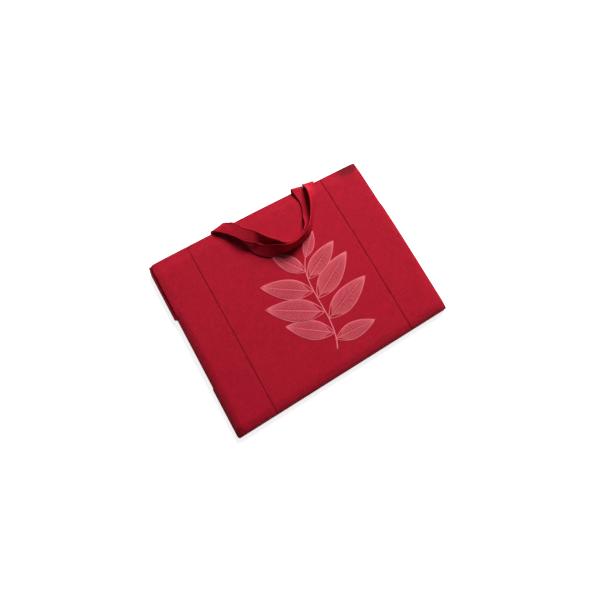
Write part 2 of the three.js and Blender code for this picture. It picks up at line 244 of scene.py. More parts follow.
def rolled(along, half, reach, inset, slope):
    """How far out a point of the cloth lies and how much of its height is left."""
    flat = half - ROLL_REACH
    over = np.maximum(np.abs(along) - flat, 0)
    angle = np.minimum(1, over / ROLL_LENGTH) * np.pi / 2
    out = np.sign(along) * (flat + (ROLL_REACH + reach - inset) * np.sin(angle))
    place = np.where(over > 0, out, along)
    left = np.maximum(np.cos(angle), 0) ** SHOULDER_TURN * (1 - slope * np.sin(angle) ** SLOPE_START)
    return place, np.where(angle < np.pi / 2, left, 0)


def mouth_sink(y):
    """How far the front has sunk towards the mouth."""
    return MOUTH_DROP * smooth((y - (half_height - MOUTH_SLOPE)) / MOUTH_SLOPE)


def ripple(x, y):
    """Slow, shallow waves of soft cloth over the mat."""
    return (
        0.30 * np.sin(x / 41 + 0.7 * np.sin(y / 83) + 0.4)
        + 0.24 * np.sin(y / 37 + 1.1 * np.sin(x / 71) + 2.0)
        + 0.16 * np.sin((x + 0.6 * y) / 19 + 1.3)
        + 0.12 * np.sin((0.7 * x - y) / 15 + 4.1)
    )


def creases(x, y):
    """Faint fold lines that run up the bag."""
    total = 0
    for across, depth, width, low, low_fade, high, high_fade in CREASES:
        line = depth * bump(x - across, width)
        total = total + line * smooth((high - y) / high_fade) * smooth((y - low) / low_fade)
    return -total


def left_rim_reach(y):
    """How much further out than the square bag the front's left rim lies."""
    corner = smooth((y - half_height + CORNER_LENGTH) / CORNER_LENGTH)
    return OPEN_LIP * smooth((y - OPEN_START) / TAB_CORNER) + CORNER_REACH * corner


def front_point(u, v, inset):
    """A point of the front, inset below its outer face."""
    y, bottom_left = rolled(v, half_height, 0, inset, BOTTOM_SLOPE)
    y = np.where(v < 0, y, v)
    bottom_left = np.where(v < 0, bottom_left, 1)
    is_open = side_open(y)
    reach = np.where(u < 0, left_rim_reach(y), -OPEN_RIM_INSET * is_open)
    x, side_left = rolled(u, half_width, reach, inset, np.where(u < 0, LEFT_SLOPE, RIGHT_SLOPE))
    rim = mix(closed_rim, OPEN_RIM_HEIGHT, is_open)
    crown = top_height - inset - mouth_sink(y)
    height = side_left * bottom_left
    # The waves and creases fade out down the rolled edges
    on_top = smooth(height * 1.4 - 0.4)
    soft = (ripple(x, y) + creases(x, y)) * on_top
    seam = SEAM_DIP * bump(np.abs(x) - seam_x, SEAM_DIP_WIDTH) * height
    from_rim = half_width + reach + x
    groove = LIP_GROOVE * bump(from_rim - LIP_WIDTH, LIP_GROOVE_WIDTH)
    fold = groove + LIP_FALL * np.maximum(LIP_WIDTH - from_rim, 0)
    lip = np.where(u < 0, is_open, 0) * fold * smooth(height * 2)
    return settle(x, y, rim + (crown - rim) * height + soft - CROWN_REST * height - seam - lip)


def new_piece(name, points, faces, material, uv=None, values=None):
    """Makes a piece from points in millimetres, smooth shaded, riding on the root."""
    mesh = bpy.data.meshes.new(name)
    mesh.from_pydata((np.asarray(points) * 0.001).tolist(), [], [list(face) for face in faces])
    mesh.validate()
    if uv is not None:
        layer = mesh.uv_layers.new(name="cloth")
        corners = np.empty(len(mesh.loops), dtype=np.int32)
        mesh.loops.foreach_get("vertex_index", corners)
        layer.data.foreach_set("uv", (np.asarray(uv)[corners] * 0.001).astype(np.float32).ravel())
    for key, value in (values or {}).items():
        field = mesh.attributes.new(key, "FLOAT", "POINT")
        field.data.foreach_set("value", np.asarray(value, dtype=np.float32))
    mesh.materials.append(material)
    mesh.shade_smooth()
    piece = place_object(name, mesh)
    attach(piece, "root")
    return piece


def closed_sheet(us, vs, place, thickness):
    """Points, faces and flat coordinates of a closed sheet with rounded edges over a grid."""
    us = np.asarray(us, dtype=float)
    vs = np.asarray(vs, dtype=float)
    nu, nv = len(us), len(vs)
    rounding = thickness / 2
    inner_u = us.copy()
    inner_u[0] += rounding
    inner_u[-1] -= rounding
    inner_v = vs.copy()
    inner_v[0] += rounding
    inner_v[-1] -= rounding
    grid_u, grid_v = np.meshgrid(inner_u, inner_v, indexing="ij")
    outer = place(grid_u, grid_v, 0).reshape(-1, 3)
    inner = place(grid_u, grid_v, thickness).reshape(-1, 3)
    ring = [(i, 0) for i in range(nu)] + [(nu - 1, j) for j in range(1, nv)]
    ring += [(i, nv - 1) for i in range(nu - 2, -1, -1)] + [(0, j) for j in range(nv - 2, 0, -1)]
    ring_u = np.array([us[i] for i, j in ring])
    ring_v = np.array([vs[j] for i, j in ring])
    middle = place(ring_u, ring_v, rounding).reshape(-1, 3)
    points = np.concatenate([outer, inner, middle])
    flat = np.stack([grid_u.ravel(), grid_v.ravel()], -1)
    uv = np.concatenate([flat, flat, np.stack([ring_u, ring_v], -1)])
    count = nu * nv
    faces = []
    for i in range(nu - 1):
        for j in range(nv - 1):
            a, b, c, d = i * nv + j, (i + 1) * nv + j, (i + 1) * nv + j + 1, i * nv + j + 1
            faces.append((a, b, c, d))
            faces.append((count + a, count + d, count + c, count + b))
    for k, (i, j) in enumerate(ring):
        i_next, j_next = ring[(k + 1) % len(ring)]
        here, there = i * nv + j, i_next * nv + j_next
        mid, mid_next = 2 * count + k, 2 * count + (k + 1) % len(ring)
        faces.append((here, mid, mid_next, there))
        faces.append((mid, count + here, count + there, mid_next))
    return points, faces, uv


def stations(start, end, pitch):
    """Evenly spaced values from start to end, about a pitch apart."""
    return np.linspace(start, end, max(2, int(round(abs(end - start) / pitch)) + 1))


# Shader groups


def new_group(name, inputs, outputs):
    """A node group from (label, kind, default) inputs and (label, kind) outputs."""
    tree = bpy.data.node_groups.new(name, "ShaderNodeTree")
    for label, kind, default in inputs:
        socket = tree.interface.new_socket(label, in_out="INPUT", socket_type=kind)
        if default is not None:
            socket.default_value = default
    for label, kind in outputs:
        tree.interface.new_socket(label, in_out="OUTPUT", socket_type=kind)
    return tree, tree.nodes.new("NodeGroupInput"), tree.nodes.new("NodeGroupOutput")


class Wires:
    """Short calls for the nodes of one tree."""

    def __init__(self, tree):
        self.tree = tree

    def put(self, socket, value):
        """Links an output to the socket, or sets a plain value."""
        if isinstance(value, bpy.types.NodeSocket):
            self.tree.links.new(value, socket)
        else:
            socket.default_value = value

    def math(self, operation, a, b=0.0, c=0.0):
        node = self.tree.nodes.new("ShaderNodeMath")
        node.operation = operation
        for socket, value in zip(node.inputs, (a, b, c)):
            self.put(socket, value)
        return node.outputs[0]

    def blend(self, factor, a, b, mode="MIX"):
        node = self.tree.nodes.new("ShaderNodeMix")
        node.data_type = "RGBA"
        node.blend_type = mode
        self.put(node.inputs[0], factor)
        self.put(node.inputs[6], a)
        self.put(node.inputs[7], b)
        return node.outputs[2]

    def noise(self, vector, scale, detail=2.0, roughness=0.5):
        node = self.tree.nodes.new("ShaderNodeTexNoise")
        self.put(node.inputs["Vector"], vector)
        self.put(node.inputs["Scale"], scale)
        self.put(node.inputs["Detail"], detail)
        self.put(node.inputs["Roughness"], roughness)
        return node.outputs["Fac"]

    def stretch(self, vector, scale):
        node = self.tree.nodes.new("ShaderNodeVectorMath")
        node.operation = "MULTIPLY"
        self.put(node.inputs[0], vector)
        node.inputs[1].default_value = scale
        return node.outputs[0]

    def window(self, value, low, high):
        """0 below low, 1 above high, with a smooth step between."""
        node = self.tree.nodes.new("ShaderNodeMapRange")
        node.interpolation_type = "SMOOTHSTEP"
        self.put(node.inputs[0], value)
        node.inputs[1].default_value = low
        node.inputs[2].default_value = high
        return node.outputs[0]

    def group(self, tree, **values):
        node = self.tree.nodes.new("ShaderNodeGroup")
        node.node_tree = tree
        for label, value in values.items():
            self.put(node.inputs[label.replace("_", " ")], value)
        return node


def make_weave_group():
    """Plain weave with slubs: threads over and under, in metres along the cloth."""
    tree, inside, outside = new_group(
        "plain weave",
        [
            ("Cloth", "NodeSocketVector", None),
            ("Thread", "NodeSocketFloat", 0.0011),
            ("Base", "NodeSocketColor", LINEN_RED),
            ("Slub", "NodeSocketFloat", 0.5),
        ],
        [("Color", "NodeSocketColor"), ("Height", "NodeSocketFloat"), ("Rough", "NodeSocketFloat")],
    )
    wires = Wires(tree)
    cloth = inside.outputs["Cloth"]
    split = tree.nodes.new("ShaderNodeSeparateXYZ")
    tree.links.new(cloth, split.inputs[0])
    # The threads wander a little
    slow = wires.noise(cloth, 70, 1)
    drift = wires.math("MULTIPLY_ADD", slow, 0.0012, -0.0006)
    across = wires.math("DIVIDE", wires.math("ADD", split.outputs[0], drift), inside.outputs["Thread"])
    along = wires.math("DIVIDE", wires.math("ADD", split.outputs[1], drift), inside.outputs["Thread"])
    warp = wires.math("ABSOLUTE", wires.math("SINE", wires.math("MULTIPLY", across, math.pi)))
    weft = wires.math("ABSOLUTE", wires.math("SINE", wires.math("MULTIPLY", along, math.pi)))
    cells = wires.math("ADD", wires.math("FLOOR", across), wires.math("FLOOR", along))
    over = wires.math("PINGPONG", cells, 1.0)
    weave = wires.math("MULTIPLY", over, warp)
    weave = wires.math("MULTIPLY_ADD", wires.math("SUBTRACT", 1.0, over), weft, weave)
    # Uneven threads both ways, a fine mottle and a slow fade
    upright = wires.noise(wires.stretch(cloth, (900, 45, 1)), 1.0, 2)
    level = wires.noise(wires.stretch(cloth, (45, 900, 1)), 1.0, 2)
    slub = wires.math("ADD", wires.math("SUBTRACT", upright, 0.5), wires.math("SUBTRACT", level, 0.5))
    slub = wires.math("MULTIPLY", slub, inside.outputs["Slub"])
    mottle = wires.math("SUBTRACT", wires.noise(cloth, 330, 3, 0.65), 0.5)
    fade = wires.math("SUBTRACT", wires.noise(cloth, 9, 2), 0.5)
    height = wires.math("MULTIPLY_ADD", slub, 1.2, weave)
    tone = wires.math("MULTIPLY_ADD", weave, 0.16, 0.92)
    tone = wires.math("MULTIPLY_ADD", slub, 1.7, tone)
    tone = wires.math("MULTIPLY_ADD", mottle, 0.6, tone)
    tone = wires.math("MULTIPLY_ADD", fade, 0.10, tone)
    shade = tree.nodes.new("ShaderNodeCombineXYZ")
    for socket in shade.inputs:
        tree.links.new(tone, socket)
    colour = wires.blend(1.0, inside.outputs["Base"], shade.outputs[0], "MULTIPLY")
    tree.links.new(colour, outside.inputs["Color"])
    tree.links.new(height, outside.inputs["Height"])
    tree.links.new(wires.math("MULTIPLY_ADD", weave, -0.06, 0.54), outside.inputs["Rough"])
    return tree


def make_ink_group():
    """Printed ink that fills the raised threads first and leaves pinholes between them."""
    tree, inside, outside = new_group(
        "printed ink",
        [
            ("Cloth", "NodeSocketVector", None),
            ("Height", "NodeSocketFloat", 0.5),
            ("Ink", "NodeSocketFloat", 1.0),
        ],
        [("Cover", "NodeSocketFloat")],
    )
    wires = Wires(tree)
    grain = wires.noise(inside.outputs["Cloth"], 900, 2)
    patch = wires.noise(inside.outputs["Cloth"], 60, 2)
    level = wires.math("MULTIPLY_ADD", inside.outputs["Height"], 0.35, grain)
    level = wires.math("MULTIPLY_ADD", patch, 0.3, level)
    need = wires.math("MULTIPLY_ADD", inside.outputs["Ink"], -1.0, 1.25)
    cover = wires.window(wires.math("SUBTRACT", level, need), -0.22, 0.26)
    tree.links.new(wires.math("MULTIPLY", cover, inside.outputs["Ink"]), outside.inputs["Cover"])
    return tree


weave_group = make_weave_group()
ink_group = make_ink_group()


def new_material(name):
    """A material with one principled shader, and the wires of its tree."""
    material = bpy.data.materials.new(name)
    material.use_nodes = True
    tree = material.node_tree
    tree.nodes.clear()
    shader = tree.nodes.new("ShaderNodeBsdfPrincipled")
    output = tree.nodes.new("ShaderNodeOutputMaterial")
    tree.links.new(shader.outputs[0], output.inputs[0])
    return material, shader, Wires(tree)


def add_bump(wires, shader, height, depth):
    node = wires.tree.nodes.new("ShaderNodeBump")
    node.inputs["Strength"].default_value = 1.0
    node.inputs["Distance"].default_value = depth
    wires.put(node.inputs["Height"], height)
    wires.put(shader.inputs["Normal"], node.outputs[0])


def cloth_coordinates(wires):
    node = wires.tree.nodes.new("ShaderNodeUVMap")
    node.uv_map = "cloth"
    return node.outputs[0]


def object_coordinates(wires):
    return wires.tree.nodes.new("ShaderNodeTexCoord").outputs["Object"]


def attribute(wires, name):
    """The value that each point of the mesh carries under a name."""
    node = wires.tree.nodes.new("ShaderNodeAttribute")
    node.attribute_name = name
    return node.outputs["Fac"]


def linen_material(name, base, thread, slub, depth, has_dark_patch=False, printed=False):
    """Woven linen, with a darker brown patch or printed ink where the piece has one."""
    material, shader, wires = new_material(name)
    cloth = cloth_coordinates(wires)
    weave = wires.group(weave_group, Cloth=cloth, Thread=thread, Base=base, Slub=slub)
    colour = weave.outputs["Color"]
    # A darker brown patch is blended into the colour where the piece carries one
    if has_dark_patch:
        rough_edge = wires.math("MULTIPLY_ADD", wires.noise(cloth, 160, 3), 0.9, 0.55)
        dark_patch = wires.math("MULTIPLY", attribute(wires, "dark_patch"), rough_edge)
        colour = wires.blend(wires.math("MINIMUM", dark_patch, 1.0), colour, DARK_PATCH_BROWN)
    if printed:
        amount = attribute(wires, "ink")
        ink = wires.group(ink_group, Cloth=cloth, Height=weave.outputs["Height"], Ink=amount)
        colour = wires.blend(ink.outputs["Cover"], colour, PRINT_PINK)
    wires.put(shader.inputs["Base Color"], colour)
    wires.put(shader.inputs["Roughness"], weave.outputs["Rough"])
    shader.inputs["Specular IOR Level"].default_value = 0.05
    shader.inputs["Sheen Weight"].default_value = 0.03
    shader.inputs["Sheen Roughness"].default_value = 0.5
    shader.inputs["Sheen Tint"].default_value = SHEEN_PINK
    add_bump(wires, shader, weave.outputs["Height"], depth)
    return material


def thread_material():
    """Twisted sewing thread."""
    material, shader, wires = new_material("sewing_thread")
    twist = wires.noise(object_coordinates(wires), 2500, 2)
    colour = wires.blend(twist, THREAD_DARK, THREAD_RED)
    wires.put(shader.inputs["Base Color"], colour)
    shader.inputs["Roughness"].default_value = 0.7
    shader.inputs["Specular IOR Level"].default_value = 0.2
    add_bump(wires, shader, twist, 0.0002)
    return material


def foam_material():
    """Closed-cell foam of the mat, with fine pores."""
    material, shader, wires = new_material("mat_foam")
    pores = wires.noise(object_coordinates(wires), 1400, 3)
    colour = wires.blend(pores, MAT_DARK, MAT_GREY)
    wires.put(shader.inputs["Base Color"], colour)
    wires.put(shader.inputs["Roughness"], wires.math("MULTIPLY_ADD", pores, 0.2, 0.65))
    add_bump(wires, shader, pores, 0.0004)
    return material


linen = linen_material("red_linen", LINEN_RED, *LINEN_WEAVE)
# Linen with the darker brown patch at the right corner of the mouth
dark_patch_linen = linen_material("red_linen_dark_patch", LINEN_RED, *LINEN_WEAVE, has_dark_patch=True)
facing_linen = linen_material("facing_linen", FACING_RED, *FACING_WEAVE)
handle_linen = linen_material("handle_linen", HANDLE_RED, *HANDLE_WEAVE)
print_linen = linen_material("printed_linen", LINEN_RED, *LINEN_WEAVE, printed=True)
sewing_thread = thread_material()
foam = foam_material()

# The front: a centre panel between two side strips

side_flat = half_width - ROLL_REACH
bottom_flat = -(half_height - ROLL_REACH)
front_rows = np.concatenate([
    stations(bottom_flat - ROLL_LENGTH, bottom_flat, BOTTOM_ROLL_PITCH),
    stations(bottom_flat, half_height - MOUTH_SLOPE, FLAT_PITCH)[1:],
    stations(half_height - MOUTH_SLOPE, half_height, MOUTH_PITCH)[1:],
])


def dark_patch_amount(points):
    """The darker brown patch along the mouth at the right corner."""
    x, y = points[:, 0] + ORIGIN_SHIFT[0], points[:, 1] + ORIGIN_SHIFT[1]
    # Its lower edge is wavy and lies higher past the corner
    depth = DARK_PATCH_TOP - y
    reach = DARK_PATCH_DEPTH + 2 * np.sin(x / 5) - 5 * smooth((x - DARK_PATCH_CORNER) / 12)
    along = smooth((x - DARK_PATCH_LEFT) / DARK_PATCH_LEFT_FADE)
    return along * smooth((reach + DARK_PATCH_EDGE / 2 - depth) / DARK_PATCH_EDGE)


def make_front():
    edge = seam_x - SEAM_HALF_GAP
    beside = np.array(SEAM_COLUMNS)
    inner = stations(beside[-1] - edge, edge - beside[-1], FLAT_PITCH)
    columns = np.concatenate([[-edge], beside[:-1] - edge, inner, edge - beside[-2::-1], [edge]])
    points, faces, uv = closed_sheet(columns, front_rows, front_point, CLOTH)
    panel = new_piece("front_cloth", points, faces, linen, uv)
    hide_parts("front_panel")
    start = seam_x + SEAM_HALF_GAP
    half_columns = np.concatenate([
        [start],
        start + beside[:-1],
        stations(start + beside[-1], side_flat, FLAT_PITCH),
        stations(side_flat, side_flat + ROLL_LENGTH, SIDE_ROLL_PITCH)[1:],
    ])
    for name, side, material in (("left", -1, linen), ("right", 1, dark_patch_linen)):
        columns = half_columns if side > 0 else -half_columns[::-1]
        points, faces, uv = closed_sheet(columns, front_rows, front_point, CLOTH)
        # The right strip carries the mask of the darker brown patch
        values = {"dark_patch": dark_patch_amount(points)} if side > 0 else None
        strip = new_piece(f"side_cloth_{name}", points, faces, material, uv, values)
        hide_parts(f"side_strip_{name}")


# The back panel and its tabs

closed_edge = half_width - MIDDLE_TUCK


def left_tab(y):
    """How far the back panel's left edge reaches past the closed side at a height."""
    lower_top = -half_height + LOWER_TAB_LENGTH
    lower = smooth((lower_top - y) / TAB_CORNER) * smooth((y + half_height + 1) / TAB_CORNER)
    upper = smooth((y - OPEN_START) / TAB_CORNER) * smooth((half_height - y) / UPPER_TAB_ROUND)
    return (LOWER_TAB_REACH + MIDDLE_TUCK) * lower + (UPPER_TAB_REACH + MIDDLE_TUCK) * upper


def back_point(u, v, inset):
    """A point of the back panel, whose left half stretches to its tabs, inset below its upper face."""
    tab = left_tab(v)
    x = np.where(u < 0, u * (1 + tab / closed_edge), u)
    hem = HEM_RISE * smooth(tab / TAB_CORNER) * smooth((-u - closed_edge + HEM_WIDTH) / HEM_WIDTH)
    return settle(x, v, (CLOTH + hem) * (1 - inset / CLOTH))


def make_back():
    # Shares of the half width, closer towards the edges
    inner = stations(-0.94, 0.94, 0.02)
    columns = np.concatenate([[-1, -0.985, -0.965], inner, [0.965, 0.985, 1]]) * closed_edge
    rows = stations(-half_height, half_height, 3)
    points, faces, uv = closed_sheet(columns, rows, back_point, CLOTH)
    panel = new_piece("back_cloth", points, faces, linen, uv)
    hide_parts("back_panel")


# Pleats, facings and the mat


def strip_along(line, thickness, y_start, y_end, pitch):
    """A closed band that follows a line drawn in X and Z, laid along Y."""
    line = np.asarray(line, dtype=float)
    steps = np.linalg.norm(np.diff(line, axis=0), axis=1)
    reach = np.concatenate([[0], np.cumsum(steps)])
    ahead = np.gradient(line, reach, axis=0)
    ahead /= np.linalg.norm(ahead, axis=1)[:, None]
    normal = np.stack([-ahead[:, 1], ahead[:, 0]], -1)

    def place(u, v, inset):
        depth = thickness / 2 - inset
        x = np.interp(u, reach, line[:, 0]) + np.interp(u, reach, normal[:, 0]) * depth
        z = np.interp(u, reach, line[:, 1]) + np.interp(u, reach, normal[:, 1]) * depth
        return settle(x, v, z)

    rows = stations(y_start, y_end, pitch)
    points, faces, uv = closed_sheet(reach, rows, place, thickness)
    return points, faces, uv, reach[-1]


def fillet(line, radius, steps=6):
    """Rounds the inner corners of a line."""
    line = [np.asarray(point, dtype=float) for point in line]
    rounded = [line[0]]
    for before, corner, after in zip(line, line[1:], line[2:]):
        into = (before - corner) / np.linalg.norm(before - corner)
        out = (after - corner) / np.linalg.norm(after - corner)
        reach = min(radius, 0.45 * np.linalg.norm(before - corner), 0.45 * np.linalg.norm(after - corner))
        a, c = corner + into * reach, corner + out * reach
        for t in np.linspace(0, 1, steps):
            rounded.append((1 - t) ** 2 * a + 2 * t * (1 - t) * corner + t * t * c)
    rounded.append(line[-1])
    return np.array(rounded)


def make_pleats():
    low = closed_rim + PLEAT_THICKNESS / 2
    rim = half_width - OPEN_RIM_INSET - PLEAT_RIM_GAP
    for name, side in (("left", -1), ("right", 1)):
        corners = [
            (side * rim, low),
            (side * (rim - PLEAT_DEPTH), low),
            (side * (rim - PLEAT_DEPTH), low + 2 * PLEAT_THICKNESS),
            (side * rim, low + PLEAT_HEIGHT),
        ]
        line = fillet(corners, 0.9)
        if side > 0:
            line = line[::-1]
        bottom, top = -half_height + PLEAT_BOTTOM_GAP, half_height - PLEAT_MOUTH_GAP
        points, faces, uv, width = strip_along(line, PLEAT_THICKNESS * 0.9, bottom, top, 6)
        pleat = new_piece(f"pleat_cloth_{name}", points, faces, facing_linen, uv)
        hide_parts(f"side_pleat_{name}")


def make_facings():
    reach = half_width - FACING_SIDE_GAP
    columns = stations(-reach, reach, 4)
    rows = stations(half_height - FACING_EDGE - FACING_HEIGHT, half_height - FACING_EDGE, 2.2)

    def under_front(u, v, inset):
        return front_point(u, v, closed_rim + inset)

    def over_back(u, v, inset):
        return settle(u, v, closed_rim + CLOTH - inset)

    points, faces, uv = closed_sheet(columns, rows, under_front, CLOTH)
    piece = new_piece("facing_cloth_front", points, faces, facing_linen, uv)
    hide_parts("mouth_facing_front")
    points, faces, uv = closed_sheet(columns, rows, over_back, CLOTH)
    piece = new_piece("facing_cloth_back", points, faces, facing_linen, uv)
    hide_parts("mouth_facing_back")


def make_mat():
    turn_x = MAT_LENGTH / 2 - mat_pitch / 2 - MAT_PLY / 2
    first_run = closed_rim + MAT_PLY / 2
    rise = mat_pitch - MAT_SINK
    line = []
    for run in range(MAT_RUNS):
        side = 1 if run % 2 == 0 else -1
        z = first_run + run * rise
        if run == 0:
            line.append((-side * MAT_LENGTH / 2, z))
        if run == MAT_RUNS - 1:
            line.append((side * MAT_LENGTH / 2, z))
        else:
            for angle in np.linspace(-math.pi / 2, math.pi / 2, 9):
                x = side * (turn_x + math.cos(angle) * mat_pitch / 2)
                line.append((x, z + rise / 2 * (1 + math.sin(angle))))
    top = half_height - MAT_BELOW_MOUTH
    points, faces, uv, _ = strip_along(line, MAT_PLY - MAT_SINK, top - MAT_DEPTH, top, 8)
    mat = new_piece("mat_foam_folded", points, faces, foam, uv)
    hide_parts("folded_mat")


# Handles: flat bands of folded linen with a stitch line along each edge

front_end = -(MOUTH_DROP + 2 * CLOTH + 2 * SEAM_PLAY + HANDLE_THICKNESS / 2)
back_end = -(top_height - 2 * CLOTH - 2 * SEAM_PLAY - HANDLE_THICKNESS / 2)
sewn_rise = MOUTH_DROP - float(mouth_sink(half_height - HANDLE_SEWN))

# Each station: outer and inner edge as (along the mouth, below the mouth, above the front)
BACK_HANDLE = [
    ((120.5, HANDLE_SEWN, back_end), (93.5, HANDLE_SEWN, back_end)),
    ((120.5, 8, back_end + 0.6), (93.5, 8, back_end + 0.6)),
    ((120.5, -4, back_end + 6), (94, -5, back_end + 6)),
    ((120.5, -4.5, -6), (95, -8.5, -6)),
    ((120.3, -2.2, -1.8), (95, -7.5, -0.8)),
    ((120, 2, 0.2), (95, -3.5, 1.8)),
    ((120, 9, 0.8), (95, 3, 1.2)),
    ((121, 20, 1.6), (96, 14, 1.7)),
    ((121.5, 37, 1.6), (96.5, 32, 2)),
    ((116.5, 54, 1.6), (91.5, 51.5, 2.5)),
    ((107, 68.5, 1.6), (85, 65, 6)),
    ((94, 83, 1.6), (79.5, 83.5, 17)),
    ((76.5, 94, 1.6), (68.5, 98.5, 24.5)),
    ((58, 101, 1.6), (52, 106.5, 26)),
    ((38, 101, 1.8), (35.5, 109.5, 26)),
    ((22, 99, 2.5), (20.5, 104.5, 28)),
    ((5.5, 97, 4), (8, 90.5, 29.5)),
    ((-11, 88, 6), (-5, 76.5, 30)),
    ((-23, 77.5, 13.4), (-15.5, 61, 29.5)),
    ((-36, 69, 16.5), (-24.5, 47.5, 27)),
    ((-51.5, 56, 16), (-38, 32.5, 22.5)),
    ((-64.5, 36, 13), (-49, 15, 17)),
    ((-78, 18.5, 8.5), (-58.5, 3, 12)),
    ((-89.5, 6.5, 5), (-66, -3.5, 7.5)),
    ((-97, -1, 0.4), (-73, -6.5, 2)),
    ((-100.5, -4.6, -4.5), (-76, -6.8, -4)),
    ((-103.5, -5, back_end + 6.5), (-78, -6.2, back_end + 6.5)),
    ((-106, 8, back_end + 0.6), (-79, 8, back_end + 0.6)),
    ((-106, HANDLE_SEWN, back_end), (-79, HANDLE_SEWN, back_end)),
]
FRONT_HANDLE = [
    ((149, HANDLE_SEWN, front_end + sewn_rise), (122, HANDLE_SEWN, front_end + sewn_rise)),
    ((149, 10, front_end + 0.6), (122, 10, front_end + 0.6)),
    ((149, 1.5, front_end - 0.6), (122, 1.5, front_end - 0.6)),
    ((148.5, -3, front_end + 2), (122, -3.2, front_end + 2)),
    ((147.5, -3, -3.2), (121.5, -5, -3)),
    ((146.5, 1, -0.2), (121.3, -4.5, 2)),
    ((143.5, 14, 0.9), (121.3, 3, 10)),
    ((137.5, 27, 1.6), (120.5, 18, 20)),
    ((129.5, 40, 1.6), (116, 38, 24.5)),
    ((120.5, 53, 1.6), (109.5, 54, 26)),
    ((110, 69, 1.6), (101, 70.5, 27)),
    ((95, 89.5, 1.6), (87.5, 89.5, 27.5)),
    ((80, 105, 1.6), (73, 101.5, 27.5)),
    ((60, 113, 1.6), (54.5, 109, 27.5)),
    ((41.5, 117, 1.6), (37.5, 112.5, 27)),
    ((22, 117, 1.6), (20, 108, 26)),
    ((1, 113, 1.6), (5, 98.5, 22.5)),
    ((-18, 109, 1.6), (-10, 89.5, 18.5)),
    ((-32, 99, 1.6), (-22.5, 81, 15)),
    ((-41.5, 87, 1.8), (-31.5, 66.5, 11.5)),
    ((-48, 65, 5), (-33, 45, 12.5)),
    ((-53.5, 47.5, 6), (-38, 27.5, 12)),
    ((-62.5, 31, 6.5), (-45, 12, 9.5)),
    ((-75.5, 17, 4.5), (-55, 1, 6.5)),
    ((-88, 7.5, 1.4), (-64.5, -1.8, 3)),
    ((-96, 2.5, -0.4), (-71.5, -2.6, 0.2)),
    ((-100.5, -1.8, -4.5), (-75.5, -2.6, -4.2)),
    ((-102.5, -1.9, front_end + 1.5), (-77, -2, front_end + 1.5)),
    ((-104.5, 1.5, front_end - 0.6), (-77.5, 1.5, front_end - 0.6)),
    ((-105, 10, front_end + 0.6), (-78, 10, front_end + 0.6)),
    ((-105, HANDLE_SEWN, front_end + sewn_rise), (-78, HANDLE_SEWN, front_end + sewn_rise)),
]


def smooth_path(points, steps):
    """A centripetal Catmull-Rom curve through the points, with equal steps between them."""
    points = np.asarray(points, dtype=float)
    first = 2 * points[0] - points[1]
    last = 2 * points[-1] - points[-2]
    knots = np.concatenate([[first], points, [last]])
    gaps = np.linalg.norm(np.diff(knots, axis=0), axis=1) ** 0.5
    path = []
    for i in range(len(points) - 1):
        p0, p1, p2, p3 = knots[i : i + 4]
        d0, d1, d2 = gaps[i : i + 3]
        m1 = ((p1 - p0) / d0 - (p2 - p0) / (d0 + d1) + (p2 - p1) / d1) * d1
        m2 = ((p2 - p1) / d1 - (p3 - p1) / (d1 + d2) + (p3 - p2) / d2) * d1
        last_step = i == len(points) - 2
        for t in np.linspace(0, 1, steps + 1)[: None if last_step else -1]:
            path.append(
                p1 * (2 * t**3 - 3 * t**2 + 1)
                + m1 * (t**3 - 2 * t**2 + t)
                + p2 * (3 * t**2 - 2 * t**3)
                + m2 * (t**3 - t**2)
            )
    return np.array(path)


def band(handle_stations, steps=8):
    """The two edges, the way along and the face direction of a band at every step."""
    edges = []
    for side in (0, 1):
        x, below, above = np.array([station[side] for station in handle_stations], dtype=float).T
        edges.append(smooth_path(settle(x, half_height - below, top_height + above), steps))
    outer, inner = edges
    across = inner - outer
    along = np.gradient(outer, axis=0) + np.gradient(inner, axis=0)
    along /= np.linalg.norm(along, axis=1)[:, None]
    face = np.cross(along, across)
    face /= np.linalg.norm(face, axis=1)[:, None]
    middle = (outer + inner) / 2
    reach = np.concatenate([[0], np.cumsum(np.linalg.norm(np.diff(middle, axis=0), axis=1))])
    return outer, across, face, reach


def band_section():
    """The band's cross-section as (share of the width, height) round it."""
    half = HANDLE_THICKNESS / 2
    # Closer at the bead and the groove
    shares = [0.012, 0.03, 0.06, 0.085, 0.10, 0.115, 0.15, 0.25, 0.375]
    shares = shares + [0.5] + [1 - share for share in reversed(shares)]
    top = []
    for share in shares:
        from_edge = min(share, 1 - share)
        groove = GROOVE_DEPTH * bump(from_edge - GROOVE_SHARE, GROOVE_WIDTH)
        bead = BEAD_HEIGHT * bump(from_edge - BEAD_SHARE, BEAD_WIDTH)
        round_off = half * (1 - math.sqrt(max(0, 1 - (1 - min(1, from_edge / EDGE_SHARE)) ** 2)))
        inside = np.clip((share - PILLOW_SHARE) / (1 - 2 * PILLOW_SHARE), 0, 1)
        pillow = PILLOW_HEIGHT * math.sin(math.pi * inside)
        top.append((share, half * FACE_LEVEL - round_off * EDGE_DROP - groove + bead + pillow))
    bottom = [(share, -height) for share, height in reversed(top)]
    return [(0, 0)] + top + [(1, 0)] + bottom


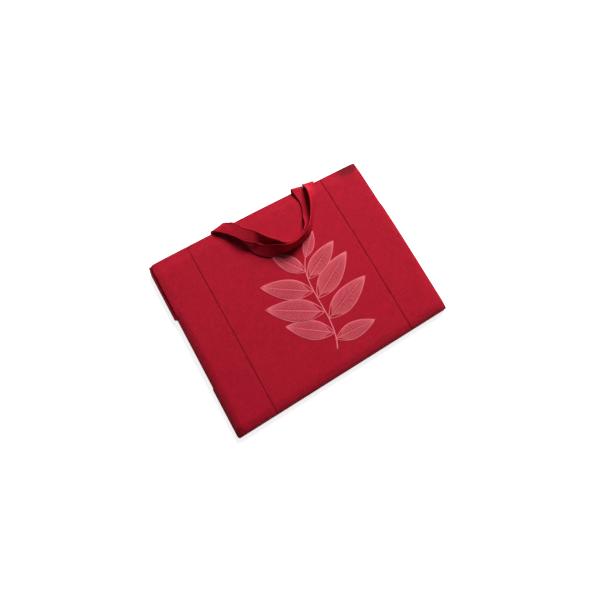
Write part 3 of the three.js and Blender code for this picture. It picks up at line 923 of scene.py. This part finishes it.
def make_handle(name, node, handle_stations):
    """One band and the four stitch lines along its edges."""
    outer, across, face, reach = band(handle_stations)
    section = band_section()
    width = float(np.mean(np.linalg.norm(across, axis=1)))
    count = len(section)
    points, uv, faces = [], [], []
    flutter = FLUTTER * np.sin(reach / 9.0 + 1.2 * np.sin(reach / 31.0))
    for k in range(len(outer)):
        for share, height in section:
            edge_wave = flutter[k] * (share - 0.5)
            points.append(outer[k] + across[k] * share + face[k] * (height + edge_wave))
            uv.append((share * width, reach[k]))
    for k in range(len(outer) - 1):
        for i in range(count):
            j = (i + 1) % count
            faces.append((k * count + i, k * count + j, (k + 1) * count + j, (k + 1) * count + i))
    faces.append(tuple(reversed(range(count))))
    faces.append(tuple((len(outer) - 1) * count + i for i in range(count)))
    piece = new_piece(name, points, faces, handle_linen, uv)
    fix_normals(piece)
    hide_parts(node)
    inside_bag = HANDLE_SEWN * 0.6
    keep = (reach > inside_bag) & (reach < reach[-1] - inside_bag)
    for share, label in ((GROOVE_SHARE, "outer"), (1 - GROOVE_SHARE, "inner")):
        for sign, facing in ((1, "top"), (-1, "under")):
            height = sign * (HANDLE_THICKNESS / 2 * FACE_LEVEL - GROOVE_DEPTH + STITCH_INSET)
            wave = (flutter * (share - 0.5))[:, None]
            path = outer + across * share + face * (height + wave)
            make_stitches(f"{name}_stitches_{label}_{facing}", path[keep])


def fix_normals(piece):
    """Turns the faces of a closed piece outwards."""
    shape = bmesh.new()
    shape.from_mesh(piece.data)
    bmesh.ops.recalc_face_normals(shape, faces=shape.faces)
    shape.to_mesh(piece.data)
    shape.free()


# Stitches: one short thread laid at equal steps along a path


def stitch_tree():
    """Geometry nodes that lay a short thread at each step of a path."""
    tree = bpy.data.node_groups.new("stitches along a path", "GeometryNodeTree")
    face = tree.interface
    face.new_socket("Geometry", in_out="INPUT", socket_type="NodeSocketGeometry")
    for label, default in (("Pitch", 0.003), ("Length", 0.0022), ("Radius", 0.0003)):
        socket = face.new_socket(label, in_out="INPUT", socket_type="NodeSocketFloat")
        socket.default_value = default
    face.new_socket("Thread", in_out="INPUT", socket_type="NodeSocketMaterial")
    face.new_socket("Geometry", in_out="OUTPUT", socket_type="NodeSocketGeometry")
    node = tree.nodes.new
    link = tree.links.new
    inside, outside = node("NodeGroupInput"), node("NodeGroupOutput")
    curve = node("GeometryNodeMeshToCurve")
    link(inside.outputs["Geometry"], curve.inputs["Mesh"])
    points = node("GeometryNodeCurveToPoints")
    points.mode = "LENGTH"
    link(curve.outputs["Curve"], points.inputs["Curve"])
    link(inside.outputs["Pitch"], points.inputs["Length"])
    body = node("GeometryNodeMeshUVSphere")
    body.inputs["Segments"].default_value = 6
    body.inputs["Rings"].default_value = 4
    body.inputs["Radius"].default_value = 1.0
    scale = node("ShaderNodeCombineXYZ")
    half = node("ShaderNodeMath")
    half.operation = "MULTIPLY"
    half.inputs[1].default_value = 0.5
    link(inside.outputs["Length"], half.inputs[0])
    link(inside.outputs["Radius"], scale.inputs["X"])
    link(inside.outputs["Radius"], scale.inputs["Y"])
    link(half.outputs[0], scale.inputs["Z"])
    sized = node("GeometryNodeTransform")
    link(body.outputs["Mesh"], sized.inputs["Geometry"])
    link(scale.outputs[0], sized.inputs["Scale"])
    lay = node("GeometryNodeInstanceOnPoints")
    link(points.outputs["Points"], lay.inputs["Points"])
    link(sized.outputs["Geometry"], lay.inputs["Instance"])
    turn = node("FunctionNodeAlignRotationToVector")
    turn.axis = "Z"
    link(points.outputs["Tangent"], turn.inputs["Vector"])
    link(turn.outputs["Rotation"], lay.inputs["Rotation"])
    real = node("GeometryNodeRealizeInstances")
    link(lay.outputs["Instances"], real.inputs["Geometry"])
    dressed = node("GeometryNodeSetMaterial")
    link(real.outputs["Geometry"], dressed.inputs["Geometry"])
    link(inside.outputs["Thread"], dressed.inputs["Material"])
    link(dressed.outputs["Geometry"], outside.inputs["Geometry"])
    return tree


stitch_nodes = stitch_tree()


def make_stitches(name, path):
    """Lays stitches along a path in millimetres and keeps them as a plain mesh."""
    guide = bpy.data.meshes.new(name + "_path")
    edges = [(i, i + 1) for i in range(len(path) - 1)]
    guide.from_pydata((np.asarray(path) * 0.001).tolist(), edges, [])
    carrier = place_object(name + "_path", guide)
    modifier = carrier.modifiers.new("stitches", "NODES")
    modifier.node_group = stitch_nodes
    sizes = {
        "Pitch": STITCH_PITCH / 1000,
        "Length": STITCH_LENGTH / 1000,
        "Radius": STITCH_RADIUS / 1000,
        "Thread": sewing_thread,
    }
    for item in stitch_nodes.interface.items_tree:
        if item.in_out == "INPUT" and item.name in sizes:
            modifier[item.identifier] = sizes[item.name]
    depsgraph = bpy.context.evaluated_depsgraph_get()
    mesh = bpy.data.meshes.new_from_object(carrier.evaluated_get(depsgraph))
    bpy.data.objects.remove(carrier)
    mesh.name = name
    mesh.shade_smooth()
    piece = place_object(name, mesh)
    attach(piece, "root")


# The printed sprig

SPRIG_HEIGHT = 205
SPRIG_ABOVE_BOTTOM = 45
SPRIG_BASE_X = 6

# The stem's control points, and each leaf's place on it, side, angle and length, as shares of the height
STEM_SHARES = ((0, 0), (0.183, 0.317), (-0.019, 0.75), (0.202, 1))
STEM = [
    (SPRIG_BASE_X + across * SPRIG_HEIGHT, -half_height + SPRIG_ABOVE_BOTTOM + up * SPRIG_HEIGHT)
    for across, up in STEM_SHARES
]
LEAVES = [
    (0.1, 1, 76, 0.44),
    (0.16, -1, 66, 0.5),
    (0.3, 1, 66, 0.58),
    (0.38, -1, 60, 0.61),
    (0.52, 1, 60, 0.58),
    (0.6, -1, 58, 0.55),
    (0.74, 1, 52, 0.49),
    (0.82, -1, 50, 0.42),
    (0.985, 1, 4, 0.3),
]
LEAF_OVAL = 0.19
VEIN_PITCH = 3.6
VEIN_WIDTH = 0.95
VEIN_INK = 0.95
VEIN_SWEEP = 0.17  # as a share of the leaf
MIDRIB_WIDTHS = (2.0, 0.9)
STEM_WIDTHS = (3.0, 1.9)
INK_LIFT = 0.05
LINE_LIFT = 0.012
INK_THICKNESS = 0.04


def stem_point(t):
    """A point of the stem at a share t of its way up."""
    a, b, c, d = (np.array(p, dtype=float) for p in STEM)
    t = np.asarray(t, dtype=float)[..., None]
    return a * (1 - t) ** 3 + 3 * b * t * (1 - t) ** 2 + 3 * c * t**2 * (1 - t) + d * t**3


def stem_heading(t):
    step = stem_point(min(1, t + 1e-3)) - stem_point(max(0, t - 1e-3))
    return math.atan2(step[1], step[0])


class Print:
    """Gathers the printed shapes as one flat mesh in the square bag's X and Y."""

    def __init__(self):
        self.points, self.faces, self.ink, self.lift = [], [], [], []

    def grid(self, rows, ink, lift):
        """rows: lists of points across, one list for each step along."""
        start = len(self.points)
        wide = len(rows[0])
        for i, row in enumerate(rows):
            self.points.extend(row)
            self.ink.extend(ink[i] if hasattr(ink[i], "__len__") else [ink[i]] * wide)
            self.lift.extend([lift] * wide)
        for i in range(len(rows) - 1):
            for j in range(wide - 1):
                a = start + i * wide + j
                self.faces.append((a, a + 1, a + wide + 1, a + wide))

    def line(self, path, widths, ink, lift):
        """A printed line of the given widths along a path."""
        path = np.asarray(path, dtype=float)
        ahead = np.gradient(path, axis=0)
        ahead /= np.linalg.norm(ahead, axis=1)[:, None]
        normal = np.stack([-ahead[:, 1], ahead[:, 0]], -1)
        widths = np.broadcast_to(widths, len(path))
        rows = [[p - n * w / 2, p + n * w / 2] for p, n, w in zip(path, normal, widths)]
        self.grid(rows, [ink] * len(rows), lift)


def leaf_half_width(s, length):
    """Half width of a leaf at a share s of its length."""
    widest = 0.42
    t = np.where(s < widest, s / widest * 0.5, 0.5 + (s - widest) / (1 - widest) * 0.5)
    return length * LEAF_OVAL * np.sin(np.pi * t) ** 0.85


def add_leaf(art, base, heading, length, lift):
    """One leaf: a pale field, its outline, a midrib and curved veins."""
    forward = np.array([math.cos(heading), math.sin(heading)])
    sideways = np.array([-forward[1], forward[0]])

    def place(s, across):
        s, across = np.asarray(s, dtype=float)[..., None], np.asarray(across, dtype=float)[..., None]
        return base + forward * s * length + sideways * across

    steps = np.linspace(0.0, 1.0, 25)
    half = leaf_half_width(steps, length)
    shares = np.linspace(-1, 1, 9)
    rows = [[place(s, h * share) for share in shares] for s, h in zip(steps, half)]
    # Thin ink that thickens towards the edges and the tip
    glow = [[0.12 + 0.12 * abs(share) ** 3 + 0.08 * s for share in shares] for s in steps]
    art.grid(rows, glow, lift)
    lift += LINE_LIFT
    for side in (-1, 1):
        art.line(place(steps, side * (half - 0.4)), 1.7 - 0.5 * np.abs(steps - 0.5), 1.0, lift)
        for s in np.arange(0.07, 0.93, VEIN_PITCH / length):
            run = np.linspace(0, 1, 7)
            reach_s = s + VEIN_SWEEP * run**1.25
            limit = leaf_half_width(np.minimum(reach_s, 0.995), length)
            across = side * limit * run * 0.97
            art.line(place(reach_s, across)[reach_s < 0.99], VEIN_WIDTH, VEIN_INK, lift)
    art.line(place(steps, steps * 0), np.linspace(*MIDRIB_WIDTHS, len(steps)), 1.0, lift)


def make_print():
    art = Print()
    for i, (at, side, turn, share) in enumerate(LEAVES):
        heading = stem_heading(at) - side * math.radians(turn)
        add_leaf(art, stem_point(at), heading, share * SPRIG_HEIGHT, INK_LIFT + 2 * LINE_LIFT * i)
    steps = np.linspace(0, 1, 50)
    top_lift = INK_LIFT + 2 * LINE_LIFT * len(LEAVES)
    art.line(stem_point(steps), np.linspace(*STEM_WIDTHS, len(steps)), 1.0, top_lift)
    flat = np.array(art.points)
    surface = front_point(flat[:, 0], flat[:, 1], 0)
    surface[:, 2] += np.array(art.lift)
    values = {"ink": np.array(art.ink)}
    piece = new_piece("leaf_sprig_print", surface, art.faces, print_linen, flat, values)
    skin = piece.modifiers.new("ink thickness", "SOLIDIFY")
    skin.thickness = INK_THICKNESS / 1000
    skin.offset = -1
    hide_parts("leaf_print")


# Floor, light and camera


def make_floor():
    mesh = bpy.data.meshes.new("floor")
    signs = ((-1, -1), (1, -1), (1, 1), (-1, 1))
    corners = [(x * FLOOR_HALF_SIZE, y * FLOOR_HALF_SIZE, -FLOOR_DROP) for x, y in signs]
    mesh.from_pydata(corners, [], [(0, 1, 2, 3)])
    material = bpy.data.materials.new("pale_floor")
    material.use_nodes = True
    tree = material.node_tree
    tree.nodes.clear()
    wires = Wires(tree)
    paths = tree.nodes.new("ShaderNodeLightPath")
    seen = wires.math("MAXIMUM", paths.outputs["Is Camera Ray"], paths.outputs["Is Glossy Ray"])
    seen = wires.math("MAXIMUM", seen, paths.outputs["Is Transmission Ray"])
    matt = tree.nodes.new("ShaderNodeBsdfDiffuse")
    matt.inputs["Color"].default_value = FLOOR_GREY
    glow = tree.nodes.new("ShaderNodeEmission")
    wires.put(glow.inputs["Strength"], wires.math("MULTIPLY", seen, FLOOR_GLOW))
    both = tree.nodes.new("ShaderNodeAddShader")
    output = tree.nodes.new("ShaderNodeOutputMaterial")
    tree.links.new(matt.outputs[0], both.inputs[0])
    tree.links.new(glow.outputs[0], both.inputs[1])
    tree.links.new(both.outputs[0], output.inputs[0])
    mesh.materials.append(material)
    floor = place_object("floor", mesh)


def make_world():
    world = bpy.data.worlds.new("studio")
    world.use_nodes = True
    tree = world.node_tree
    tree.nodes.clear()
    wires = Wires(tree)
    paths = tree.nodes.new("ShaderNodeLightPath")
    seen = wires.math("MAXIMUM", paths.outputs["Is Camera Ray"], paths.outputs["Is Glossy Ray"])
    back = tree.nodes.new("ShaderNodeBackground")
    back.inputs["Color"].default_value = (1, 1, 1, 1)
    wires.put(back.inputs["Strength"], wires.math("MULTIPLY_ADD", seen, 1 - SKY_LIGHT, SKY_LIGHT))
    output = tree.nodes.new("ShaderNodeOutputWorld")
    tree.links.new(back.outputs[0], output.inputs[0])
    bpy.context.scene.world = world


def make_key_light():
    direction = Vector(KEY_DIRECTION).normalized()
    light = bpy.data.lights.new("key", "AREA")
    light.shape = "DISK"
    light.size = KEY_SIZE
    light.energy = KEY_ENERGY
    lamp = place_object("key", light)
    lamp.location = direction * KEY_DISTANCE
    lamp.rotation_mode = "QUATERNION"
    lamp.rotation_quaternion = direction.to_track_quat("Z", "Y")


def make_camera():
    azimuth, elevation = math.radians(CAMERA_AZIMUTH), math.radians(CAMERA_ELEVATION)
    back = Vector((
        math.sin(azimuth) * math.cos(elevation),
        -math.cos(azimuth) * math.cos(elevation),
        math.sin(elevation),
    ))
    target = Vector((CAMERA_TARGET[0] - ORIGIN_SHIFT[0], CAMERA_TARGET[1] - ORIGIN_SHIFT[1], 0)) / 1000
    data = bpy.data.cameras.new("camera")
    data.lens = 36
    data.sensor_width = 36
    camera = place_object("camera", data)
    camera.location = target + back * CAMERA_DISTANCE / 1000
    camera.rotation_mode = "QUATERNION"
    camera.rotation_quaternion = back.to_track_quat("Z", "Y")
    bpy.context.scene.camera = camera


make_camera()
make_front()
make_back()
make_pleats()
make_facings()
make_mat()
make_handle("back_handle_band", "handle_back", BACK_HANDLE)
make_handle("front_handle_band", "handle_front", FRONT_HANDLE)
make_print()
make_floor()
make_world()
make_key_light()

bpy.context.scene.view_settings.view_transform = "Standard"
